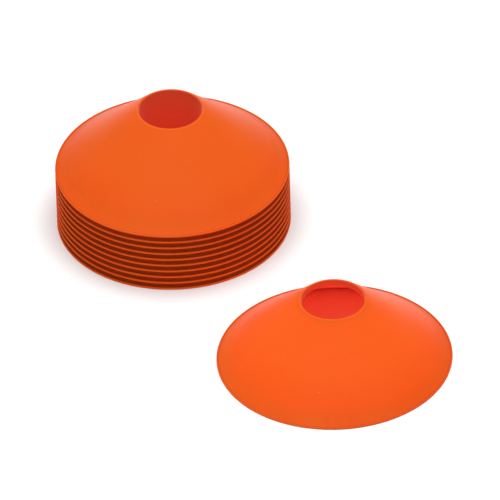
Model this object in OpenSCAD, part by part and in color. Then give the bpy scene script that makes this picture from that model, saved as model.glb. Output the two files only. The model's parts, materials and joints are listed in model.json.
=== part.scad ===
// A set of low, round sports marker cones: a nested stack, and one cone by itself.
// Each cone is a single plastic moulding: a flared wall on a flat rim flange, with a
// lip around the hole at the top and a collar that hangs from the lip. The collar
// stands on the lip of the cone below, and so sets how high the stack grows.
// Millimetres. +Z is up and +Y points away from the viewer. The origin is on the
// floor, midway between the stack's axis and the axis of the cone by itself.

/* [Cone] */
// Diameter over the rounded edge of the rim
rim_d = 190; // [150:1:240]
// Height from the floor to the top of the lip
cone_h = 58.5; // [45:0.5:75]
// Thickness of the flared wall, square to its surface
wall = 1.6; // [1.2:0.1:2.2]
// Depth by which the flared wall dips below a straight line from flange to lip
flare_dip = 0.8; // [0.4:0.1:5]

/* [Rim] */
// Width of the flat flange around the foot of the flared wall
flange_w = 2.4; // [1.8:0.1:4]
// Thickness of the flange, whose edge is fully rounded
flange_t = 1.6; // [1.2:0.1:2.2]

/* [Neck] */
// Diameter of the hole through the top
hole_d = 51.5; // [40:0.5:62]
// Width of the lip, from the edge of the hole to the flared wall
lip_w = 1.6; // [1.5:0.1:2.6]
// Radius of the rounded corner between the lip and the flared wall
lip_round = 0.8; // [0.5:0.1:1.2]
// Thickness of the collar that hangs from the lip
collar_t = 1.3; // [1:0.1:1.4]
// Height that each further cone adds to the stack, which is the collar's height
stack_pitch = 5.85; // [4.5:0.05:9]

/* [Set] */
// Clear floor between the stack's rim and the rim of the cone by itself
rim_gap = 38.5; // [10:0.5:150]
// Degrees by which the stack lies to the left of straight behind the single cone
stack_bearing = 33.5; // [0:0.5:60]

/* [Hidden] */
stack_count = 10;
stack_names = [for (i = [1 : stack_count]) str("stack_cone_", i < 10 ? "0" : "", i)];
$fn = 256;
safety_orange = "#F15A22";

rim_r = rim_d / 2;
hole_r = hole_d / 2;
// Where the flange's flat stops and its round edge starts
edge_r = rim_r - flange_t / 2;

// The outer face of the wall is an arc from the flange's top to the lip's outer edge.
flare_foot = [rim_r - flange_w, flange_t];
flare_head = [hole_r + lip_w, cone_h];
flare_chord = flare_head - flare_foot;
flare_span = norm(flare_chord);
flare_r = (pow(flare_span / 2, 2) + pow(flare_dip, 2)) / (2 * flare_dip);
flare_out = [flare_chord.y, -flare_chord.x] / flare_span;
flare_centre = (flare_foot + flare_head) / 2 + flare_out * (flare_r - flare_dip);

// The lip's rounded corner touches both the flat lip and that arc.
round_z = cone_h - lip_round;
round_drop = flare_centre.y - round_z;
round_centre = [flare_centre.x - sqrt(pow(flare_r + lip_round, 2) - pow(round_drop, 2)), round_z];
round_out = (flare_centre - round_centre) / norm(flare_centre - round_centre);
round_reach = 2 * lip_round;

// From the middle of the set to the stack's axis; the single cone is as far the other way.
stack_axis = (rim_d + rim_gap) / 2 * [-sin(stack_bearing), cos(stack_bearing)];

// What the rounded corner takes off the lip's outer edge
module lip_corner() {
    difference() {
        polygon([round_centre, round_centre + [0, round_reach], round_centre + round_out * round_reach]);
        translate(round_centre) circle(lip_round);
    }
}

// The flared wall, between two arcs with one centre
module wall_section() {
    intersection() {
        difference() {
            translate(flare_centre) circle(flare_r + wall);
            translate(flare_centre) circle(flare_r);
        }
        translate([hole_r, 0]) square([edge_r - hole_r, cone_h]);
    }
}

// The collar, as high as the stack's pitch, up to the top of the lip
module collar_section() {
    translate([hole_r, cone_h - stack_pitch]) square([collar_t, stack_pitch]);
}

// The flat flange with its fully rounded edge
module flange_section() {
    translate([flare_foot.x, 0]) square([edge_r - flare_foot.x, flange_t]);
    translate([edge_r, flange_t / 2]) circle(flange_t / 2);
}

module cone_section() {
    difference() {
        union() {
            wall_section();
            collar_section();
        }
        lip_corner();
    }
    flange_section();
}

module marker_cone() {
    rotate_extrude() cone_section();
}

// One cone of the stack, counted from 0 at the floor
module stack_cone(level) {
    color(safety_orange) translate([stack_axis.x, stack_axis.y, level * stack_pitch]) marker_cone();
}

module loose_cone() {
    color(safety_orange) translate([-stack_axis.x, -stack_axis.y, 0]) marker_cone();
}

for (level = [0 : stack_count - 1]) {
    stack_cone(level);
}
loose_cone();
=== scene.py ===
# Low round marker cones of orange polyethylene: a nested stack of ten, and one cone by itself.
import json
import math
import random

import bmesh
import bpy
from mathutils import Matrix, Vector


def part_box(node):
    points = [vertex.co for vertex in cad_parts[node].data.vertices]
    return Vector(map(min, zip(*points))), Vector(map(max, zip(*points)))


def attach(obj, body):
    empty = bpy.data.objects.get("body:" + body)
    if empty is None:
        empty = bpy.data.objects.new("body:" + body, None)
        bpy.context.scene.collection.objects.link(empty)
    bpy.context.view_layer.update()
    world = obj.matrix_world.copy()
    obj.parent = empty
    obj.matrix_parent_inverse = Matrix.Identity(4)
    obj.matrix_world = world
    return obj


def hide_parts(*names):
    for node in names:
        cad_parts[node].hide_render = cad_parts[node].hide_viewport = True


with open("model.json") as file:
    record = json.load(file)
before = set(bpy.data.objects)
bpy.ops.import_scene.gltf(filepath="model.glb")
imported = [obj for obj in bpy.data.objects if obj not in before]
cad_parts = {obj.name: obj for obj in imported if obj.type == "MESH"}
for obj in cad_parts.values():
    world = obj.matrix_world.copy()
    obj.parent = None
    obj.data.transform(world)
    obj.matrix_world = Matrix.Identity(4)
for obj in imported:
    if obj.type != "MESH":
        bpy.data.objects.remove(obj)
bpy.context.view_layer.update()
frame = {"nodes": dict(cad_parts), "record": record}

# The camera. It looks down on the set from the front through a very long lens, from so far away that the
# stack, which is farther off, comes out nearly as wide as the single cone. The middle of the single cone's
# foot lies at FOOT_PX in the picture.
PICTURE_PX = 500
SENSOR_MM = 36
DISTANCE = 16.0
LOOK_DOWN = math.radians(37.35)
LEAN = math.radians(-1.75)
PX_PER_METRE = 1244
FOOT_PX = Vector((334.5, 357.4))


def foot_centre(node):
    """The point under the middle of a cone, at its lowest height."""
    low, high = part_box(node)
    return Vector(((low.x + high.x) / 2, (low.y + high.y) / 2, low.z))


forward = Vector((0, math.cos(LOOK_DOWN), -math.sin(LOOK_DOWN)))
across = Vector((1, 0, 0))
upright = across.cross(forward)
right = math.cos(LEAN) * across + math.sin(LEAN) * upright
up = math.cos(LEAN) * upright - math.sin(LEAN) * across
to_middle = (Vector((PICTURE_PX, PICTURE_PX)) / 2 - FOOT_PX) / PX_PER_METRE
aim = foot_centre("loose_cone") + to_middle.x * right - to_middle.y * up

camera = bpy.data.objects.new("camera", bpy.data.cameras.new("camera"))
camera.data.sensor_width = SENSOR_MM
camera.data.lens = SENSOR_MM * PX_PER_METRE * DISTANCE / PICTURE_PX
facing = Matrix((right, up, -forward)).transposed().to_4x4()
camera.matrix_world = Matrix.Translation(aim - forward * DISTANCE) @ facing
scene = bpy.context.scene
scene.collection.objects.link(camera)
scene.camera = camera


# The floor and the studio. The cones stand on a wide sheet of matt white card in a pale grey room. A large
# soft panel hangs over them and lights the card past plain white, so only close shadows are seen.
FLOOR_SIDE = 60.0
CARD_WHITE = "#F8F8F8"
PANEL_SIDE = 2.8
PANEL_PLACE = Vector((0, 0.05, 2.60))
PANEL_WATTS = 97
ROOM_GREY = "#BCBCBC"
ROOM_STRENGTH = 0.45


def linear(hex_code):
    """The linear colour of an sRGB hex code."""
    shares = [int(hex_code[i:i + 2], 16) / 255 for i in (1, 3, 5)]
    return [s / 12.92 if s <= 0.04045 else ((s + 0.055) / 1.055) ** 2.4 for s in shares] + [1.0]


def add(material, kind, inputs, output=None, **settings):
    """Adds a node, gives its inputs values or other nodes' outputs, and returns its named or first output."""
    tree = material.node_tree
    node = tree.nodes.new(kind)
    for name, value in settings.items():
        setattr(node, name, value)
    for name, value in inputs.items():
        socket = next(s for s in node.inputs if s.name == name and s.enabled)
        if isinstance(value, bpy.types.NodeSocket):
            tree.links.new(value, socket)
        else:
            socket.default_value = value
    return next((s for s in node.outputs if s.enabled and output in (None, s.name)), None)


def blank_material(name):
    """A material whose nodes are still to be added."""
    material = bpy.data.materials.new(name)
    material.use_nodes = True
    material.node_tree.nodes.clear()
    return material


def make_object(name, bm, material):
    """An object of the shape in bm, in one material."""
    mesh = bpy.data.meshes.new(name)
    bm.to_mesh(mesh)
    bm.free()
    mesh.materials.append(material)
    made = bpy.data.objects.new(name, mesh)
    scene.collection.objects.link(made)
    return made


card = blank_material("matt_white_card")
card_face = add(card, "ShaderNodeBsdfDiffuse", {"Color": linear(CARD_WHITE)})
add(card, "ShaderNodeOutputMaterial", {"Surface": card_face})
bm = bmesh.new()
bmesh.ops.create_grid(bm, x_segments=1, y_segments=1, size=FLOOR_SIDE / 2)
make_object("floor", bm, card)

light = bpy.data.lights.new("overhead_panel", "AREA")
light.size = PANEL_SIDE
light.energy = PANEL_WATTS
panel = bpy.data.objects.new("overhead_panel", light)
panel_tilt = PANEL_PLACE.to_track_quat("Z", "Y").to_matrix().to_4x4()
panel.matrix_world = Matrix.Translation(PANEL_PLACE) @ panel_tilt
panel.visible_camera = False
scene.collection.objects.link(panel)

room = bpy.data.worlds.new("grey_room")
room.use_nodes = True
room.node_tree.nodes["Background"].inputs["Color"].default_value = linear(ROOM_GREY)
room.node_tree.nodes["Background"].inputs["Strength"].default_value = ROOM_STRENGTH
scene.world = room
scene.view_settings.view_transform = "Standard"
scene.cycles.use_denoising = True
scene.cycles.max_bounces = 24
scene.cycles.diffuse_bounces = 16
scene.cycles.transmission_bounces = 16


# The marker cones. Each is one injection moulding of orange low-density polyethylene: a flared wall with
# a flat flange round its foot, a flat lip round its hole, and a collar that stands on the cone below. All
# are drawn once, as one mould, and set down in the places of the CAD's cones.
MM = 0.001
WALL = 1.6 * MM
FLARE_DIP = 0.8 * MM
FLANGE_W = 2.4 * MM
FLANGE_T = 1.6 * MM
LIP_W = 1.6 * MM
LIP_ROUND = 0.8 * MM
COLLAR_T = 1.3 * MM
REST_GAP = 0.02 * MM
FOOT_FILLET = 1.0 * MM
EDGE_ROUND = 0.1 * MM
NOTCH_ROUND = 0.4 * MM
GATE_R = 72.4 * MM
GATE_D = 2.0 * MM
GATE_DRAFT = 0.2 * MM
GATE_HIGH = 0.3 * MM
FLARE_STEPS = 37
TURN_STEPS = 192
ROUND_STEPS = 5
NECK_FADE = 0.6 * MM
PATCH_FROM = 60 * MM
DENSE_FROM = 82 * MM
DENSE_TO = 94 * MM
RIM_FROM = 90 * MM
# FACES_UP and FACES_DOWN pick the flat tops and the flat under the rim that take painted shade.
FACES_UP = 0.98
FACES_DOWN = -0.85
LIP_SHADE_SHARE = 0.4

mounts = {mount["name"]: mount["dims"] for mount in frame["record"]["mounts"]}
hole_r = mounts["loose_hole"]["r_mm"] * MM
collar_h = mounts["loose_hole"]["length_mm"] * MM
loose_low, loose_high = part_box("loose_cone")
rim_r = (loose_high.y - loose_low.y) / 2
cone_h = loose_high.z - loose_low.z

# The flare's outer face is an arc, from the flange's top to the lip's outer edge.
edge_r = rim_r - FLANGE_T / 2
flare_foot = Vector((rim_r - FLANGE_W, FLANGE_T))
flare_head = Vector((hole_r + LIP_W, cone_h))
flare_chord = flare_head - flare_foot
flare_r = ((flare_chord.length / 2) ** 2 + FLARE_DIP ** 2) / (2 * FLARE_DIP)
flare_out = Vector((flare_chord.y, -flare_chord.x)).normalized()
flare_centre = (flare_foot + flare_head) / 2 + flare_out * (flare_r - FLARE_DIP)


def beside_flare(offset, height):
    """The point at a height, and at an offset outside the flare's own arc radius."""
    drop = flare_centre.y - height
    return Vector((flare_centre.x - math.sqrt((flare_r + offset) ** 2 - drop ** 2), height))


def inside_flare(radius):
    """The point of the flare's inner face at a radius."""
    reach = flare_centre.x - radius
    return Vector((radius, flare_centre.y - math.sqrt((flare_r + WALL) ** 2 - reach ** 2)))


def draw_line(bm, pen, end):
    """A straight edge of the section from the pen's vertex to a radius and a height."""
    point = bm.verts.new((end.x, 0, end.y))
    bm.edges.new((pen, point))
    return point


def draw_arc(bm, pen, centre, end, steps):
    """An arc of the section from the pen's vertex, about a centre, as far as the direction of end."""
    start_angle = math.atan2(pen.co.z - centre.y, pen.co.x - centre.x)
    end_angle = math.atan2(end.y - centre.y, end.x - centre.x)
    turn = (end_angle - start_angle + math.pi) % math.tau - math.pi
    drawn = bmesh.ops.spin(bm, geom=[pen], cent=(centre.x, 0, centre.y), axis=(0, -1, 0), angle=turn,
                           steps=steps)
    return next(item for item in drawn["geom_last"] if isinstance(item, bmesh.types.BMVert))


def draw_section(bm):
    """The outline of the cut wall: out and down the flare, under the foot, and up inside to the collar.
    The collar stops a hair above the lip that carries it, so that the two faces don't coincide."""
    lip_round_centre = beside_flare(LIP_ROUND, cone_h - LIP_ROUND)
    fillet_centre = beside_flare(-FOOT_FILLET, FLANGE_T + FOOT_FILLET)
    edge_centre = Vector((edge_r, FLANGE_T / 2))
    collar_foot = cone_h - collar_h + REST_GAP
    lip_edge = bm.verts.new((hole_r, 0, cone_h))
    pen = draw_line(bm, lip_edge, Vector((lip_round_centre.x, cone_h)))
    pen = draw_arc(bm, pen, lip_round_centre, flare_centre, ROUND_STEPS)
    pen = draw_arc(bm, pen, flare_centre, fillet_centre, FLARE_STEPS)
    pen = draw_arc(bm, pen, fillet_centre, fillet_centre - Vector((0, FOOT_FILLET)), ROUND_STEPS)
    pen = draw_line(bm, pen, Vector((edge_r, FLANGE_T)))
    pen = draw_arc(bm, pen, edge_centre, edge_centre + Vector((FLANGE_T, 0)), ROUND_STEPS)
    pen = draw_arc(bm, pen, edge_centre, edge_centre - Vector((0, FLANGE_T)), ROUND_STEPS)
    foot_edge = draw_line(bm, pen, beside_flare(WALL, 0))
    notch = draw_arc(bm, foot_edge, flare_centre, inside_flare(hole_r + COLLAR_T), FLARE_STEPS)
    collar_out = draw_line(bm, notch, Vector((hole_r + COLLAR_T, collar_foot)))
    collar_in = draw_line(bm, collar_out, Vector((hole_r, collar_foot)))
    bm.edges.new((collar_in, lip_edge))
    for corners, radius in ([lip_edge, foot_edge, collar_out, collar_in], EDGE_ROUND), ([notch], NOTCH_ROUND):
        bmesh.ops.bevel(bm, geom=corners, affect="VERTICES", offset=radius, segments=ROUND_STEPS, profile=0.5,
                        material=-1)


def raise_gate_mark(bm):
    """A low round pip on the flare's outer face, where the plastic entered the mould, with a blushed tip."""
    blush = bm.verts.layers.float.new("blush")
    half_step = math.pi / TURN_STEPS
    gate = Vector((math.cos(half_step), math.sin(half_step))) * GATE_R
    margin = (GATE_R * math.sin(half_step) * 2 - GATE_D) / 2

    def pad():
        outside = [face for face in bm.faces if face.normal.z > 0]
        return min(outside, key=lambda face: (face.calc_center_median().to_2d() - gate).length)

    bmesh.ops.inset_individual(bm, faces=[pad()], thickness=margin, use_even_offset=True)
    bmesh.ops.bevel(bm, geom=pad().verts[:], affect="VERTICES", offset=GATE_D / 2, segments=ROUND_STEPS,
                    profile=0.5, material=-1, clamp_overlap=True)
    bmesh.ops.inset_individual(bm, faces=[pad()], thickness=GATE_DRAFT, depth=GATE_HIGH, use_even_offset=True)
    for vert in pad().verts:
        vert[blush] = 1


def mark_plastic(bm):
    """Marks where light comes through, the flat tops and the flat under the rim that take painted shade, the
    hole's wall that takes painted light, and the way out to the rim. The lip's top takes only part of the
    shade."""
    marks = "thin", "level", "under", "core", "rimward"
    thin, level, under, core, rimward = (bm.verts.layers.float.new(mark) for mark in marks)
    for vert in bm.verts:
        radius = vert.co.to_2d().length
        at_rim = radius > RIM_FROM
        to_rim = (DENSE_TO - radius) / (DENSE_TO - DENSE_FROM)
        from_collar = (radius - hole_r - COLLAR_T) / NECK_FADE
        vert[thin] = min(max(to_rim, 0), max(from_collar, 0), 1)
        # Painted shade on the flat tops; the lip's top takes only part of it.
        vert[level] = (1 if at_rim else LIP_SHADE_SHARE) if vert.normal.z > FACES_UP else 0
        # Painted shade on the flat under the rim, for the gaps of the stack.
        vert[under] = at_rim and vert.normal.z < FACES_DOWN
        # Painted light on the hole's wall, which lifts the shade inside the hole.
        vert[core] = radius < hole_r + COLLAR_T + EDGE_ROUND and vert.co.z < cone_h - EDGE_ROUND / 2
        vert[rimward] = max((radius - PATCH_FROM) / (rim_r - PATCH_FROM), 0)


def mould_cone():
    """A cone about an axis at the origin, spun from its section, with its gate mark on the +X side."""
    bm = bmesh.new()
    draw_section(bm)
    bmesh.ops.spin(bm, geom=bm.verts[:] + bm.edges[:], cent=(0, 0, 0), axis=(0, 0, 1), angle=math.tau,
                   steps=TURN_STEPS, use_merge=True)
    bmesh.ops.recalc_face_normals(bm, faces=bm.faces)
    raise_gate_mark(bm)
    mark_plastic(bm)
    for face in bm.faces:
        face.smooth = True
    return bm


def set_down_cone(mould, node, gate_bearing, material):
    """A cone from the mould, turned until its gate mark has a bearing, in the place of its CAD node."""
    bm = mould.copy()
    place = Matrix.Translation(foot_centre(node)) @ Matrix.Rotation(gate_bearing, 4, "Z")
    bmesh.ops.transform(bm, matrix=place, verts=bm.verts)
    cone = make_object("moulded_" + node, bm, material)
    cone.modifiers.new("flat_faces_stay_flat", "WEIGHTED_NORMAL")
    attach(cone, node)
    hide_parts(node)


# The plastic. Its satin grain breaks up the gloss and turns the steep flanks pale. Light comes through the
# thin wall, so a cone glows inside and its hole looks red, but not through the dense rim, lip and collar.
# The flat tops of rim and lip are a darker orange, painted shade that tones down the light from above on
# them, and the flat under the rim is a dull brown, painted shade for the gaps of the stack. The wall of the
# hole is a lighter orange, painted light that lifts the shade inside the hole.
DENSE = "#E9611F"
LEVEL_SHADE = "#C3541B"
UNDER_SHADE = "#6E4420"
THIN = "#AD591B"
CORE_LIT = "#FE6845"
BLUSH = "#AE6C34"
GLOW = "#C5725D"
PATCH_TONE = "#FFCDC0"
WHITE = "#FFFFFF"
BLACK = "#000000"
PATCH_SIZE = 60 * MM
SATIN_GRAIN = 0.9 * MM
GRAIN_DEPTH = 0.1 * MM
GRAIN_STRENGTH = 0.05

plastic = blank_material("moulded_orange_polyethylene")
coords = add(plastic, "ShaderNodeTexCoord", {}, output="Object")
marked = {mark: add(plastic, "ShaderNodeAttribute", {}, output="Fac", attribute_name=mark)
          for mark in ("thin", "level", "under", "core", "blush", "rimward")}
base_tint = linear(DENSE)
# Here go on the painted shade of the flat tops and of the flat under the rim, and the painted light of the
# hole's wall.
for mark, tone in ("level", LEVEL_SHADE), ("under", UNDER_SHADE), ("thin", THIN), ("core", CORE_LIT), ("blush", BLUSH):
    base_tint = add(plastic, "ShaderNodeMix", {
        "Factor": marked[mark], "A": base_tint, "B": linear(tone)}, data_type="RGBA")

# Towards the rim the orange turns deeper, in faint patches.
patch_noise = add(plastic, "ShaderNodeTexNoise", {"Vector": coords, "Scale": 1 / PATCH_SIZE, "Detail": 2.0})
patches = add(plastic, "ShaderNodeMix", {
    "Factor": marked["rimward"], "A": 0.0, "B": patch_noise}, data_type="FLOAT")
patch_tint = add(plastic, "ShaderNodeMix", {
    "Factor": patches, "A": linear(WHITE), "B": linear(PATCH_TONE)}, data_type="RGBA")
tint = add(plastic, "ShaderNodeMix", {
    "Factor": 1.0, "A": base_tint, "B": patch_tint}, data_type="RGBA", blend_type="MULTIPLY")

# The grain of a satin mould is about 0.1 mm, which no picture of the set shows, so it is drawn coarser.
grain = add(plastic, "ShaderNodeTexNoise", {"Vector": coords, "Scale": 1 / SATIN_GRAIN, "Detail": 1.0})
satin = add(plastic, "ShaderNodeBump", {
    "Height": grain, "Strength": GRAIN_STRENGTH, "Distance": GRAIN_DEPTH})
skin = add(plastic, "ShaderNodeBsdfPrincipled", {
    "Base Color": tint, "Roughness": 0.4, "IOR": 1.51, "Specular IOR Level": 0.027, "Sheen Weight": 0.17,
    "Sheen Roughness": 0.3, "Normal": satin})
through = add(plastic, "ShaderNodeMix", {
    "Factor": marked["thin"], "A": linear(BLACK), "B": linear(GLOW)}, data_type="RGBA")
glow = add(plastic, "ShaderNodeBsdfTranslucent", {"Color": through, "Normal": satin})
surface = add(plastic, "ShaderNodeAddShader", {})
plastic.node_tree.links.new(skin, surface.node.inputs[0])
plastic.node_tree.links.new(glow, surface.node.inputs[1])
add(plastic, "ShaderNodeOutputMaterial", {"Surface": surface})

# Two gate marks are in view, low on the front of the top cone and of the single one. The hidden ones point
# any way, as the cones happened to be stacked.
GATES_IN_VIEW = "stack_cone_10", "loose_cone"
GATE_BEARING = math.radians(-102)
SEED = 7

mould = mould_cone()
turns = random.Random(SEED)
for node in frame["nodes"]:
    gate_bearing = GATE_BEARING if node in GATES_IN_VIEW else turns.uniform(0, math.tau)
    set_down_cone(mould, node, gate_bearing, plastic)
mould.free()
